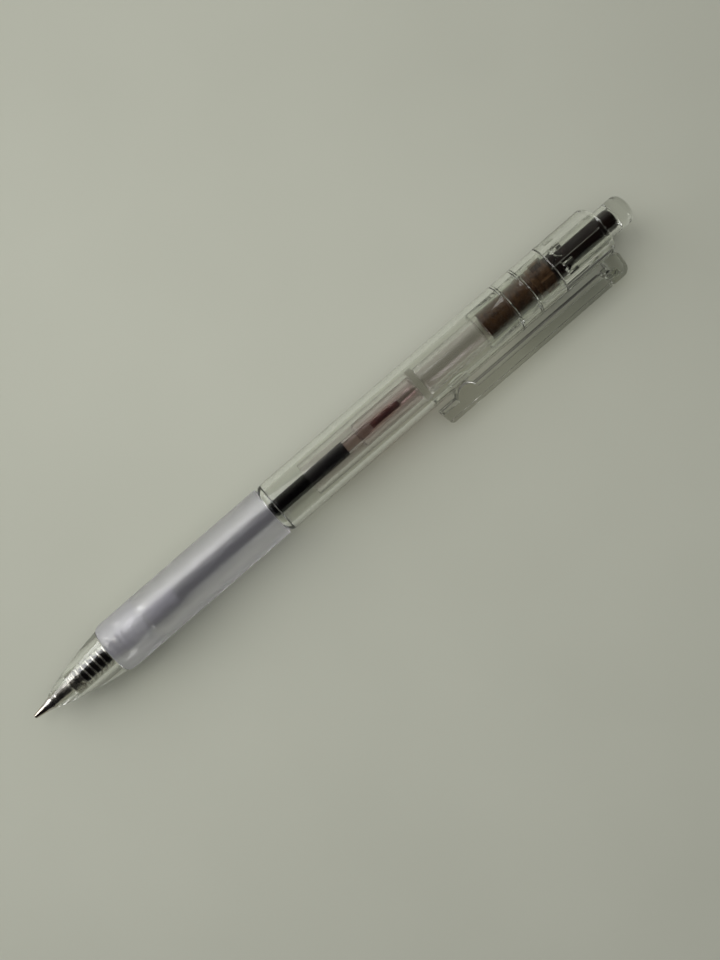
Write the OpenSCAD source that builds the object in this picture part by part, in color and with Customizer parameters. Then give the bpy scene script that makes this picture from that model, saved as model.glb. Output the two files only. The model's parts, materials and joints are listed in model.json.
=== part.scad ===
// Clear click ballpoint pen, lying on its barrel and clip with the point clicked out.
// Every piece is drawn upright first: station 0 is the writing point, stations rise towards
// the button, and +X is the clip's side. lying() then lays the whole pen down along X.

/* [Lengths along the pen] */
// Point standing out of the nose cone
point_reach = 4.65; // [3.8:0.05:5.2]
// Nose cone in front of the grip
nose_len = 14.15; // [12.6:0.05:15]
// Grip sleeve
grip_len = 38.7; // [35:0.1:46]
// Full-width barrel behind the grip
barrel_len = 66.8; // [64:0.1:76]
// End cap behind the barrel
cap_len = 12.1; // [11.6:0.1:14]
// Button standing out of the end cap, point out
button_reach = 6.2; // [5:0.1:8]
// How far a click draws the refill back
click_travel = 5.5; // [4.8:0.1:5.9]

/* [Barrel and grip] */
// Outside diameter of barrel, grip and end cap
barrel_d = 10.2; // [9.8:0.05:11.2]
// Barrel wall
barrel_wall = 1.1; // [0.9:0.05:1.2]
// Rounding of the barrel's front shoulder
shoulder_round = 1.2; // [0.4:0.05:1.2]
// Wall of the grip
grip_wall = 0.93; // [0.7:0.01:1.1]
// Length of the rounded front of the grip
grip_round_len = 1.5; // [1.2:0.1:4]
// Rounding of the grip's back edge
grip_edge = 0.15; // [0.05:0.05:0.3]
// Wall of the barrel's neck inside the grip
neck_wall = 0.95; // [0.85:0.05:1.05]
// Thicker front of the grip, which sits in a groove round the neck
lock_len = 8.5; // [6:0.1:12]
// Depth of that groove
lock_depth = 0.25; // [0.1:0.05:0.3]

/* [Nose cone] */
// Wall at the mouth of the nose cone
lip_wall = 0.22; // [0.18:0.02:0.4]
// Length of the narrow mouth
lip_len = 1; // [0.6:0.1:1.6]
// Bore between the mouth and the spring seat
throat_d = 3; // [2.85:0.05:3.3]
// Station of the spring seat behind the mouth
seat_depth = 4.4; // [3.9:0.05:4.6]
// How far the cone bulges past a straight line
nose_bulge = 0.35; // [0.1:0.05:0.4]
// Step in from the grip to the back of the cone
nose_step = 0.45; // [0.4:0.05:0.8]
// Screw spigot behind the cone
spigot_len = 9; // [8:0.1:11]
// Distance from one thread ring to the next
thread_pitch = 0.78; // [0.7:0.02:1]
// Height of a thread ring
thread_rise = 0.16; // [0.1:0.02:0.22]
// Number of thread rings
thread_rings = 4; // [3:1:5]

/* [Writing point] */
// Writing ball
ball_d = 0.7; // [0.5:0.1:0.7]
// Share of the ball that stands out of its socket
ball_show = 0.28; // [0.2:0.02:0.34]
// Length of the point metal that shows
point_len = 2.65; // [2.3:0.05:3]
// Widest part of the point metal
point_d = 1.7; // [1.6:0.02:1.8]
// Shank of the point metal inside the sleeve
shank_d = 1.1; // [0.9:0.05:1.2]
// Length of the sleeve's cone
sleeve_cone_len = 1.4; // [1.1:0.05:1.8]
// Distance from the cone to the ring cut round the sleeve
ring_at = 0.3; // [0.2:0.05:0.6]
// Width of that ring
ring_w = 0.3; // [0.2:0.05:0.5]
// Depth of that ring
ring_depth = 0.03; // [0.02:0.01:0.1]
// Sleeve that holds the point
sleeve_d = 2.46; // [2.3:0.02:2.5]
// Station of the sleeve's back end
sleeve_end = 12.1; // [11.5:0.1:12.6]
// Wall of the sleeve
sleeve_wall = 0.3; // [0.25:0.01:0.35]
// Bore that carries ink to the ball
feed_d = 0.5; // [0.4:0.05:0.6]

/* [Refill] */
// Holder behind the sleeve
holder_d = 2.9; // [2.7:0.05:3]
// Station of the flange that the spring pushes on
flange_at = 21.8; // [20.8:0.1:22.2]
// Thickness of that flange
flange_len = 0.8; // [0.6:0.1:1]
// Plug of the holder inside the joint
holder_plug_len = 2.6; // [2:0.1:3.2]
// Joint between holder and tube
joint_d = 3.7; // [3.6:0.05:4]
// Station of the joint's back end
joint_end = 34.5; // [33:0.1:36]
// Depth of the tube in the joint
socket_depth = 2.6; // [2:0.1:3]
// Distance from the joint's back end to its first groove
groove_at = 1.65; // [1:0.05:2]
// Distance from one groove to the next
groove_step = 1.25; // [1:0.05:2]
// Width of a groove round the joint
groove_w = 0.55; // [0.4:0.05:0.7]
// Depth of a groove round the joint
groove_depth = 0.16; // [0.1:0.01:0.18]
// Check ball that stops ink running back
check_ball_d = 1.6; // [1.4:0.05:1.7]
// Room round the check ball
check_gap = 0.18; // [0.1:0.02:0.24]
// Lip that holds the check ball in its room
check_lip = 0.1; // [0.06:0.02:0.2]
// Length of the bore between the check ball and the tube
check_seat_len = 0.8; // [0.5:0.1:1]
// Outside of the ink tube
tube_d = 3; // [2.9:0.02:3.1]
// Wall of the ink tube
tube_wall = 0.47; // [0.4:0.01:0.55]
// Length of the ink tube
tube_len = 59.3; // [56:0.1:62]
// Empty tube behind the follower
tube_empty = 5.15; // [3:0.05:26]
// Clear follower behind the ink
follower_len = 11; // [9:0.1:12]
// Float that rides in the follower
float_d = 1.3; // [1:0.05:1.4]
// Length of the float
float_len = 6.4; // [5:0.1:7]
// Part of the float that stands out of the follower
float_show = 1.5; // [1:0.1:2]
// Tail plug round the back of the tube
tail_d = 5.1; // [4.8:0.05:5.2]
// Length of the tail plug
tail_len = 13.5; // [12:0.1:15]
// Wall across the back of the tail plug
tail_floor = 0.5; // [0.4:0.05:0.8]
// Rounding of the tail plug's front edge
tail_round = 0.5; // [0.2:0.05:0.8]
// Vent through the tail plug
vent_d = 0.8; // [0.6:0.05:1]

/* [Return spring] */
// Outside of the spring
spring_d = 4.56; // [4.5:0.02:4.6]
// Spring wire
wire_d = 0.42; // [0.36:0.02:0.46]
// Touching turns at the front
front_turns = 4; // [3:0.5:4]
// Open turns in the middle
open_turns = 7.5; // [6:0.5:9]
// Touching turns at the back
back_turns = 2; // [1:0.5:2]

/* [Carrier] */
// Front cup of the carrier
carrier_d = 6.9; // [6.8:0.05:7.3]
// Depth of the front cup
cup_depth = 25.6; // [22:0.1:28]
// Web between cup and tube
web_len = 1.4; // [1:0.1:2]
// Back tube of the carrier
back_tube_d = 5.9; // [5.6:0.05:5.9]
// Guide ring near the carrier's back end
guide_ring_len = 1.1; // [0.8:0.1:1.5]

/* [Cam rotor] */
// Front journal that turns in the carrier
journal_d = 4; // [3.8:0.05:4.2]
// Length of the front journal
journal_len = 11.3; // [9:0.1:12.5]
// Collar that pushes the carrier
collar_len = 1.3; // [1:0.1:1.6]
// Collar diameter
collar_d = 5.9; // [5.6:0.05:5.9]
// Splines that ride between the cap's ribs
spline_len = 2.9; // [2.4:0.1:3.4]
// Width of a spline
spline_w = 2.2; // [1.9:0.1:2.4]
// Diameter over the splines
spline_d = 6.5; // [6.4:0.05:6.6]
// Tapered slope at the back of a spline
spline_slope = 22; // [15:1:26]
// Body that carries the cam teeth
crown_d = 5.3; // [5.1:0.05:5.5]
// Length of that body, teeth included
crown_len = 2.3; // [2:0.1:2.6]
// Depth of the cam teeth
tooth_depth = 1.1; // [0.8:0.05:1.2]
// Width of the notch between two cam teeth
tooth_gap = 1.5; // [1.2:0.05:1.6]
// Spindle inside the button
spindle_d = 4.1; // [3.7:0.02:4.2]
// Rounding of the spindle's end
spindle_round = 0.96; // [0.5:0.02:1.6]

/* [Button] */
// Outside of the button
button_d = 5.9; // [5.8:0.02:6]
// Solid end of the button
button_floor = 3.1; // [2.6:0.1:4]
// Rounding of the button's end
button_round = 1.5; // [1:0.1:1.8]
// Lugs that stop the button in the cap
lug_len = 2; // [1.6:0.1:2.2]

/* [End cap] */
// Length of the skirt inside the barrel
skirt_len = 17.3; // [16:0.1:18.5]
// Room left behind the button's lugs with the point drawn in
lug_play = 1.5; // [0.6:0.1:1.6]
// Rounding of the cap's back edge
cap_round = 1.6; // [1.2:0.1:1.8]
// Distance from the barrel's end forward to the guide ribs
rib_at = 0.4; // [0.2:0.1:1]
// Turn of the guide ribs away from the clip
rib_turn = 56; // [0:1:90]
// Width of a guide rib
rib_w = 1.6; // [1.4:0.05:1.8]
// Distance from the skirt's front to the first snap bead
bead_first = 7.1; // [6:0.1:8]
// Distance between the two snap beads
bead_step = 4.3; // [3.5:0.1:5]
// Width of a snap bead
bead_w = 0.6; // [0.4:0.05:0.8]
// Height of a snap bead
bead_rise = 0.12; // [0.08:0.01:0.16]

/* [Clip] */
// Radius of the clip's outer face from the pen's axis
clip_out = 9.6; // [9.4:0.05:10.2]
// Thickness of the clip bar
clip_thick = 2.5; // [2.2:0.05:2.7]
// Width of clip and knuckle
clip_w = 3.8; // [3.4:0.1:4.4]
// Clip from the knuckle to its free end
clip_len = 39.3; // [34:0.1:42]
// Radius of the bump that grips a pocket
bump_r = 2.3; // [2.1:0.05:2.5]
// Bump's centre from the clip's free end
bump_at = 6.2; // [5:0.1:8]
// Slant of the free end
end_slant = 0.5; // [0.2:0.1:0.8]
// Rounding of the free end
end_round = 0.7; // [0.4:0.05:0.9]
// Knuckle from its roof's front edge to its back
knuckle_len = 4.1; // [3.9:0.1:5.2]
// Cap left behind the knuckle
knuckle_inset = 0.3; // [0.1:0.1:1.8]
// How far the knuckle's roof reaches over the clip's root
roof_len = 1.05; // [0.8:0.05:1.2]
// Rounding of the knuckle's top corner
knuckle_round = 1.7; // [1.2:0.1:2]
// Slope of the knuckle's back, measured across the pen
knuckle_foot = 0.3; // [0.1:0.1:2]
// Rounded root of the clip
root_d = 1.3; // [1.2:0.05:1.4]
// Root's centre above the bar's inner face
root_rise = 0.9; // [0.75:0.05:1]
// Neck between root and bar
neck_thick = 0.9; // [0.8:0.05:1]
// Cheek on each side of the root
cheek_w = 0.65; // [0.5:0.05:0.8]
// How far the clip opens
clip_open = 4; // [3:0.5:4.5]

/* [Clearances] */
// Radial clearance between pieces pushed together
fit_gap = 0.03; // [0.02:0.01:0.05]
// Radial clearance of a part that slides or turns
run_gap = 0.06; // [0.04:0.01:0.08]
// Radial clearance round the spring
spring_gap = 0.1; // [0.08:0.01:0.14]
// Axial play between pieces that meet end to end
end_play = 0.05; // [0.03:0.01:0.08]
// Gap between the clip's bump and the barrel
bump_gap = 0.1; // [0.05:0.05:0.3]
// Gap in front of the knuckle's roof
root_gap = 0.3; // [0.25:0.05:0.4]

/* [Hidden] */
$fn = 96;

past = 0.01;    // a cutter runs this far past the face it cuts
deep = 1;       // a cutter that ends in open space

// Stations along the pen
nose_front = point_reach;
nose_back = nose_front + nose_len;
spring_seat = nose_front + seat_depth;
spigot_end = nose_back + spigot_len;
shoulder = nose_back + grip_len;
lock_back = nose_back + lock_len;
cavity_front = shoulder + shoulder_round;
barrel_end = shoulder + barrel_len;
cap_end = barrel_end + cap_len;
overall_len = cap_end + button_reach;
skirt_front = barrel_end - skirt_len;

// Grip, neck and screw spigot, each inside the one before, and the room for the spring
grip_bore_d = barrel_d - 2 * grip_wall;
neck_d = grip_bore_d - 2 * fit_gap;
neck_bore_d = neck_d - 2 * neck_wall;
spigot_d = neck_bore_d - 2 * fit_gap;
chamber_d = spring_d + 2 * spring_gap;
thread_first = spigot_end - (thread_rings + 1) * thread_pitch;
mouth_bore_d = sleeve_d + 2 * run_gap;
mouth_d = mouth_bore_d + 2 * lip_wall;
nose_back_d = barrel_d - 2 * nose_step;
bore_d = barrel_d - 2 * barrel_wall;

// Refill
point_back = point_len;
sleeve_cone_end = point_back + sleeve_cone_len;
sleeve_bore_d = sleeve_d - 2 * sleeve_wall;
holder_plug_d = sleeve_bore_d - 2 * fit_gap;
flange_d = chamber_d - 2 * run_gap;
joint_front = flange_at;
tube_front = joint_end - socket_depth;
tube_back = tube_front + tube_len;
tube_bore_d = tube_d - 2 * tube_wall;
ink_front = tube_front + end_play;
follower_back = tube_back - tube_empty;
ink_back = follower_back - follower_len;
float_back = follower_back + float_show;
tail_back = tube_back + tail_floor;
tail_front = tail_back - tail_len;
check_room_len = check_ball_d + 2 * end_play;
check_back = tube_front - check_seat_len;

// The spring: a round wire wound on a helix, close at both ends and open between
wire_sides = 8;
turn_steps = 16;
coil_front = spring_seat + wire_d / 2 + fit_gap;
coil_back = joint_front - wire_d / 2 - fit_gap;
close_pitch = wire_d + fit_gap;
all_turns = front_turns + open_turns + back_turns;
open_pitch = (coil_back - coil_front - (front_turns + back_turns) * close_pitch) / open_turns;

// Mechanism. The splines stand just in front of the cap's ribs while the point is out.
rib_front = barrel_end - rib_at;
spline_back = rib_front - 2 * end_play;
spline_front = spline_back - spline_len;
crown_back = spline_back + crown_len;
collar_front = spline_front - collar_len;
journal_front = collar_front - journal_len;
button_front = crown_back + 2 * end_play;
cap_shelf = button_front + lug_len + click_travel + lug_play;
spindle_back = overall_len - button_floor - 2 * end_play;
skirt_d = bore_d - 2 * fit_gap;
skirt_bore_d = spline_d + 2 * run_gap;
exit_d = button_d + 2 * run_gap;
web_front = tail_back + end_play;
web_back = web_front + web_len;
carrier_front = web_front - cup_depth;
carrier_back = collar_front - end_play;
cup_bore_d = tail_d + 2 * fit_gap;
carrier_bore_d = journal_d + 2 * run_gap;
guide_ring_d = skirt_bore_d - 2 * run_gap;
guide_ring_back = rib_front - click_travel - 2 * end_play;
button_bore_d = spindle_d + 2 * run_gap;
button_bore_end = spindle_back + 2 * end_play;

// Clip and knuckle
barrel_r = barrel_d / 2;
clip_in = clip_out - clip_thick;
knuckle_back = cap_end - knuckle_inset;
roof_front = knuckle_back - knuckle_len;
knuckle_front = roof_front + roof_len;
clip_back = roof_front - root_gap;
clip_front = clip_back - clip_len;
bump_station = clip_front + bump_at;
bump_centre = barrel_r + bump_gap + bump_r;
root_station = knuckle_front + root_d / 2 + fit_gap;
root_height = clip_in + root_rise;
root_flare = run_gap + (root_station - roof_front) * tan(clip_open);
root_w = clip_w - 2 * cheek_w;
clip_corner = [clip_out, clip_w / 2];

// The pen rolls towards its clip until the clip's edge meets the table.
clip_tilt = asin(barrel_r / norm(clip_corner)) - atan2(clip_corner.y, clip_corner.x);
clip_reach = clip_corner.x * cos(clip_tilt) + clip_corner.y * sin(clip_tilt);
axis_y = (clip_reach - barrel_r) / 2;

// Points of an arc round c
function arc(c, r, from, to, steps = 10) =
    [for (i = [0:steps]) let (a = from + (to - from) * i / steps) c + r * [cos(a), sin(a)]];

// Points of a shallow curve from p to q that stands sag above the straight line
function bulged(p, q, sag, steps = 12) =
    [for (i = [0:steps]) let (t = i / steps) p + (q - p) * t + [4 * sag * t * (1 - t), 0]];

// Lays the upright pen down along X, clip towards -Y and the table
module lying()
    translate([-overall_len / 2, axis_y, barrel_r])
    rotate([clip_tilt - 90, 0, 0])
    rotate([0, 90, 0])
    children();

// A turned piece from an outline of [radius, station] points
module turned(outline)
    rotate_extrude()
    polygon(outline);

// A rod of diameter d between two stations
module rod(from, to, d)
    translate([0, 0, from])
    cylinder(d = d, h = to - from);

// A slab across the pen from an outline of [height above the axis, station] points
module slab(outline, width)
    rotate([90, 0, 0])
    linear_extrude(width, center = true)
    polygon(outline);

// Four straight keys round the axis between two radii and two stations
module keys(from, to, r_in, r_out, width, turn)
    intersection() {
        difference() {
            rod(from, to, 2 * r_out);
            rod(from - past, to + past, 2 * r_in);
        }
        for (a = [0, 90])
            rotate([0, 0, turn + a])
            translate([-2 * r_out, -width / 2, from - past])
            cube([4 * r_out, width, to - from + 2 * past]);
    }

// V-shaped cutters across the axis that leave eight cam teeth; way is 1 up, -1 down
module tooth_cutters(station, way)
    for (a = [0:45:135])
        rotate([0, 0, a])
        rotate([90, 0, 0])
        linear_extrude(barrel_d, center = true)
        polygon([
            [-tooth_gap / 2, station + way * past],
            [tooth_gap / 2, station + way * past],
            [0, station - way * tooth_depth]
        ]);

// Ring with a ridged section: a thread ring or a snap bead
module ridge(station, base_d, rise, width)
    turned([
        [base_d / 2 - fit_gap, station - width / 2],
        [base_d / 2, station - width / 2],
        [base_d / 2 + rise, station - width / 6],
        [base_d / 2 + rise, station + width / 6],
        [base_d / 2, station + width / 2],
        [base_d / 2 - fit_gap, station + width / 2]
    ]);

module thread_ridges(base_d, rise, width)
    for (i = [0:thread_rings - 1])
        ridge(thread_first + i * thread_pitch, base_d, rise, width);

module snap_ridges(base_d, rise, width)
    for (i = [0:1])
        ridge(skirt_front + bead_first + i * bead_step, base_d, rise, width);

module writing_ball()
    color("silver")
    translate([0, 0, ball_d / 2])
    sphere(d = ball_d);

module point_metal()
    color("silver")
    difference() {
        union() {
            turned([
                [0, ball_show * ball_d],
                [ball_d / 2 + fit_gap, ball_show * ball_d],
                [point_d / 2, point_back],
                [0, point_back]
            ]);
            rod(point_back - past, sleeve_cone_end, shank_d);
        }
        translate([0, 0, ball_d / 2])
        sphere(d = ball_d + fit_gap);
        rod(ball_d / 2, sleeve_cone_end + past, feed_d);
    }

module point_sleeve() {
    ring_front = sleeve_cone_end + ring_at;
    color("lightgrey")
    difference() {
        turned([
            [0, point_back + end_play],
            [point_d / 2, point_back + end_play],
            [sleeve_d / 2, sleeve_cone_end],
            [sleeve_d / 2, ring_front],
            [sleeve_d / 2 - ring_depth, ring_front],
            [sleeve_d / 2 - ring_depth, ring_front + ring_w],
            [sleeve_d / 2, ring_front + ring_w],
            [sleeve_d / 2, sleeve_end],
            [0, sleeve_end]
        ]);
        rod(point_back, sleeve_cone_end + end_play, shank_d + 2 * fit_gap);
        rod(sleeve_cone_end, sleeve_end + past, sleeve_bore_d);
    }
}

module point_holder() {
    plug_front = sleeve_end - holder_plug_len;
    plug_back = joint_front + holder_plug_len;
    color("black")
    difference() {
        union() {
            rod(plug_front, plug_back, holder_plug_d);
            rod(sleeve_end + end_play, joint_front, holder_d);
        }
        rod(plug_front - past, plug_back + past, feed_d);
    }
}

module refill_joint()
    color("lightgrey")
    difference() {
        union() {
            rod(joint_front + end_play, joint_front + flange_len, flange_d);
            rod(joint_front + end_play, joint_end, joint_d);
        }
        rod(joint_front, joint_front + holder_plug_len + end_play, holder_plug_d + 2 * fit_gap);
        rod(joint_front, tube_front + past, feed_d);
        rod(check_back - check_room_len, check_back, check_ball_d + 2 * check_gap);
        rod(check_back - past, tube_front, check_ball_d - 2 * check_lip);
        rod(tube_front - past, joint_end + past, tube_d + 2 * fit_gap);
        for (i = [0, 1])
            difference() {
                groove_back = joint_end - groove_at - i * groove_step;
                rod(groove_back - groove_w, groove_back, joint_d + deep);
                rod(joint_front, joint_end, joint_d - 2 * groove_depth);
            }
    }

module check_ball()
    color("silver")
    translate([0, 0, check_back - check_room_len / 2])
    sphere(d = check_ball_d);

module ink_tube()
    color("white", 0.4)
    difference() {
        rod(tube_front + fit_gap, tube_back, tube_d);
        rod(tube_front, tube_back + past, tube_bore_d);
    }

module ink_column()
    color("black")
    rod(ink_front, ink_back, tube_bore_d - fit_gap);

module ink_follower()
    color("ivory", 0.5)
    difference() {
        rod(ink_back + fit_gap, follower_back, tube_bore_d - fit_gap);
        rod(float_back - float_len - fit_gap, follower_back + past, float_d + fit_gap);
    }

module follower_float()
    color("saddlebrown")
    turned(concat(
        [[0, float_back - float_len]],
        [[float_d / 2, float_back - float_len]],
        arc([0, float_back - float_d / 2], float_d / 2, 0, 90)
    ));

module tail_plug()
    color("white", 0.4)
    difference() {
        turned(concat(
            [[0, tail_front]],
            arc([tail_d / 2 - tail_round, tail_front + tail_round], tail_round, -90, 0),
            [[tail_d / 2, tail_back], [0, tail_back]]
        ));
        rod(tail_front - past, tube_back + fit_gap, tube_d + 2 * fit_gap);
        rod(tube_back, tail_back + past, vent_d);
    }

// Station of the spring's wire after so many turns
function coil_station(turn) =
    coil_front
    + close_pitch * min(turn, front_turns)
    + open_pitch * min(max(turn - front_turns, 0), open_turns)
    + close_pitch * max(turn - front_turns - open_turns, 0);

// Points round the wire after so many turns
function wire_ring(turn) =
    [for (k = [0:wire_sides - 1])
        let (
            side = 360 * k / wire_sides,
            r = (spring_d - wire_d) / 2 + wire_d / 2 * cos(side)
        )
        [r * cos(360 * turn), r * sin(360 * turn), coil_station(turn) + wire_d / 2 * sin(side)]];

module return_spring() {
    steps = round(all_turns * turn_steps);
    points = [for (i = [0:steps]) each wire_ring(i * all_turns / steps)];
    last = steps * wire_sides;
    color("gainsboro")
    polyhedron(points, concat(
        [[for (k = [0:wire_sides - 1]) k]],
        [for (i = [0:steps - 1], k = [0:wire_sides - 1])
            let (a = i * wire_sides + k, b = i * wire_sides + (k + 1) % wire_sides)
            [a, a + wire_sides, b + wire_sides, b]],
        [[for (k = [wire_sides - 1:-1:0]) last + k]]
    ));
}

module nose_cone()
    color("white", 0.35)
    difference() {
        union() {
            turned(concat(
                [[0, nose_front]],
                bulged([mouth_d / 2, nose_front], [nose_back_d / 2, nose_back], nose_bulge),
                [[0, nose_back]]
            ));
            rod(nose_back - past, spigot_end, spigot_d);
            thread_ridges(spigot_d, thread_rise, thread_pitch / 2);
        }
        rod(nose_front - past, spring_seat + past, mouth_bore_d);
        rod(nose_front + lip_len, spring_seat + past, throat_d);
        rod(spring_seat, spigot_end + past, chamber_d);
    }

module barrel()
    color("white", 0.35)
    difference() {
        union() {
            rod(nose_back + end_play, lock_back + past, neck_d - 2 * lock_depth);
            rod(lock_back, cavity_front + past, neck_d);
            turned(concat(
                [[0, shoulder]],
                arc([barrel_r - shoulder_round, cavity_front], shoulder_round, -90, 0),
                [[barrel_r, barrel_end], [0, barrel_end]]
            ));
        }
        rod(nose_back, cavity_front + past, neck_bore_d);
        rod(cavity_front, barrel_end + past, bore_d);
        thread_ridges(neck_bore_d, thread_rise + fit_gap, thread_pitch / 2 + 2 * fit_gap);
        snap_ridges(bore_d, bead_rise + fit_gap, bead_w + 2 * fit_gap);
    }

module grip_sleeve() {
    front = nose_back + end_play;
    back = shoulder - end_play;
    front_r = nose_back_d / 2;
    color("lavender", 0.7)
    difference() {
        turned(concat(
            [[0, front]],
            [for (a = [0:9:90])
                [
                    front_r + (barrel_r - front_r) * sin(a),
                    front + grip_round_len * (1 - cos(a))
                ]],
            arc([barrel_r - grip_edge, back - grip_edge], grip_edge, 0, 90, 4),
            [[0, back]]
        ));
        rod(front - past, back + past, grip_bore_d - 2 * lock_depth);
        rod(lock_back - end_play, back + past, grip_bore_d);
    }
}

module refill_carrier()
    color("white", 0.4)
    difference() {
        union() {
            rod(carrier_front, web_back, carrier_d);
            rod(web_back - past, carrier_back, back_tube_d);
            rod(guide_ring_back - guide_ring_len, guide_ring_back, guide_ring_d);
        }
        rod(carrier_front - past, web_front, cup_bore_d);
        rod(web_back, carrier_back + past, carrier_bore_d);
    }

module cam_rotor()
    color("black")
    rotate([0, 0, rib_turn - 45])
    union() {
        rod(journal_front, collar_front + past, journal_d);
        rod(collar_front, spline_front + past, collar_d);
        rod(spline_front, spline_back, crown_d);
        difference() {
            rod(spline_back - past, crown_back, crown_d);
            tooth_cutters(crown_back, 1);
        }
        difference() {
            keys(spline_front, spline_back, spindle_d / 2, spline_d / 2, spline_w, 0);
            for (a = [0:90:270])
                rotate([0, 0, a])
                translate([0, -spline_w / 2, spline_back])
                rotate([-spline_slope, 0, 0])
                cube([barrel_d, barrel_d, barrel_d]);
        }
        turned(concat(
            [[0, spline_front], [spindle_d / 2, spline_front]],
            arc([spindle_d / 2 - spindle_round, spindle_back - spindle_round], spindle_round, 0, 90),
            [[0, spindle_back]]
        ));
    }

module push_button()
    color("white", 0.35)
    rotate([0, 0, rib_turn - 45])
    difference() {
        union() {
            turned(concat(
                [[0, button_front], [button_d / 2, button_front]],
                arc(
                    [button_d / 2 - button_round, overall_len - button_round],
                    button_round, 0, 90
                ),
                [[0, overall_len]]
            ));
            keys(
                button_front, button_front + lug_len,
                button_bore_d / 2, spline_d / 2, spline_w, 0
            );
        }
        rod(button_front - past, button_bore_end, button_bore_d);
        tooth_cutters(button_front, -1);
    }

// Outline of the knuckle that joins the cap to the clip, with its roof over the root
knuckle_outline = concat(
    [
        [skirt_d / 2, knuckle_front],
        [clip_in - end_play, knuckle_front],
        [clip_in - end_play, roof_front],
        [clip_out, roof_front]
    ],
    arc([clip_out - knuckle_round, knuckle_back - knuckle_round], knuckle_round, 0, 90),
    [
        [barrel_r + knuckle_foot, knuckle_back],
        [barrel_r, cap_end - cap_round],
        [skirt_d / 2, cap_end - cap_round]
    ]
);

// Pocket for the clip's root, flared so that the clip can open
module root_pocket() {
    room = root_d + 2 * run_gap;
    rotate([90, 0, 0])
    linear_extrude(root_w + 2 * run_gap, center = true)
    union() {
        translate([root_height, root_station])
        circle(d = room);
        polygon([
            [root_height - neck_thick / 2 - root_flare, roof_front - past],
            [root_height + neck_thick / 2 + root_flare, roof_front - past],
            [root_height + neck_thick / 2, root_station],
            [root_height - neck_thick / 2, root_station]
        ]);
    }
}

module end_cap()
    color("white", 0.35)
    difference() {
        union() {
            rod(skirt_front, barrel_end + 2 * end_play, skirt_d);
            snap_ridges(skirt_d, bead_rise, bead_w);
            turned(concat(
                [[0, barrel_end + end_play], [barrel_r, barrel_end + end_play]],
                arc([barrel_r - cap_round, cap_end - cap_round], cap_round, 0, 90),
                [[0, cap_end]]
            ));
            slab(knuckle_outline, clip_w);
        }
        difference() {
            rod(skirt_front - past, cap_shelf, skirt_bore_d);
            difference() {
                keys(rib_front, cap_shelf + past, exit_d / 2, barrel_r, rib_w, rib_turn);
                for (a = [0:90:270])
                    rotate([0, 0, rib_turn + a])
                    translate([0, -rib_w / 2, rib_front])
                    rotate([-spline_slope, 0, 0])
                    translate([0, 0, -barrel_d])
                    cube([barrel_d, barrel_d, barrel_d]);
            }
        }
        rod(cap_shelf - past, cap_end + past, exit_d);
        root_pocket();
    }

module clip() {
    bump_turn = acos((clip_in - bump_centre) / bump_r);
    color("white", 0.35)
    union() {
        slab(concat(
            [[clip_in, clip_back]],
            arc([bump_centre, bump_station], bump_r, bump_turn, 360 - bump_turn, 20),
            [[clip_in, clip_front]],
            [[clip_out - end_round, clip_front + end_slant]],
            arc([clip_out - end_round, clip_front + end_slant + end_round], end_round, -90, 0),
            [[clip_out, clip_back]]
        ), clip_w);
        rotate([90, 0, 0])
        linear_extrude(root_w, center = true)
        union() {
            translate([root_height, root_station])
            circle(d = root_d);
            translate([root_height - neck_thick / 2, clip_back - past])
            square([neck_thick, root_station - clip_back]);
        }
    }
}

lying() writing_ball();
lying() point_metal();
lying() point_sleeve();
lying() point_holder();
lying() refill_joint();
lying() check_ball();
lying() ink_tube();
lying() ink_column();
lying() ink_follower();
lying() follower_float();
lying() tail_plug();
lying() return_spring();
lying() nose_cone();
lying() barrel();
lying() grip_sleeve();
lying() refill_carrier();
lying() cam_rotor();
lying() push_button();
lying() end_cap();
lying() clip();
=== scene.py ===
import json
import math

import bmesh
import bpy
from mathutils import Matrix, Vector


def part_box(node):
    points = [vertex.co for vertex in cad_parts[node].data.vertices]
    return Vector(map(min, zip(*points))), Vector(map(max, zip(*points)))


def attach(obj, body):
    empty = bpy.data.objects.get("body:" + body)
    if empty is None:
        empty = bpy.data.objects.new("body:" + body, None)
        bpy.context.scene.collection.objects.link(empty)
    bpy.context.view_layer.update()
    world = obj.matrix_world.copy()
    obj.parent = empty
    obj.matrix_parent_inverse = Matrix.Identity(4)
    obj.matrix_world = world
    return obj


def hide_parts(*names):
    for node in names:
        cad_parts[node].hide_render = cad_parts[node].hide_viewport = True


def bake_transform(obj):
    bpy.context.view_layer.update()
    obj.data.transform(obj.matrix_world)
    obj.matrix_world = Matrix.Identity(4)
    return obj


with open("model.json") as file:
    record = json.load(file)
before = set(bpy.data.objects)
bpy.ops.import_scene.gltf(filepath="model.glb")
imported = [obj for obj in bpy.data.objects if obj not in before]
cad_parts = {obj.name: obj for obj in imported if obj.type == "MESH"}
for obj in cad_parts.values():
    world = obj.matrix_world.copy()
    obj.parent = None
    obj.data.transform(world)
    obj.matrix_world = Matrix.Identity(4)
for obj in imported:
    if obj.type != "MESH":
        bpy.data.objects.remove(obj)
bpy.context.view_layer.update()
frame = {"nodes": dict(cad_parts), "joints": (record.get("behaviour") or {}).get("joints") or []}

# The pen's own frame is in millimetres: z runs along the pen from the writing point, x towards the clip
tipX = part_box("writing_ball")[0].x
barrelLow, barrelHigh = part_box("barrel")
axisY = (barrelLow.y + barrelHigh.y) / 2
axisZ = (barrelLow.z + barrelHigh.z) / 2
clipAxis = next(j["axis"] for j in frame["joints"] if j["name"] == "clip_flex")
clipTilt = math.atan2(-clipAxis[1], clipAxis[2])
mm = 0.001
fitGap = 0.05  # mm between pieces that meet
layDown = Matrix(
    (
        (0, 0, mm, tipX),
        (-mm * math.cos(clipTilt), mm * math.sin(clipTilt), 0, axisY),
        (-mm * math.sin(clipTilt), -mm * math.cos(clipTilt), 0, axisZ),
        (0, 0, 0, 1),
    )
)


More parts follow.
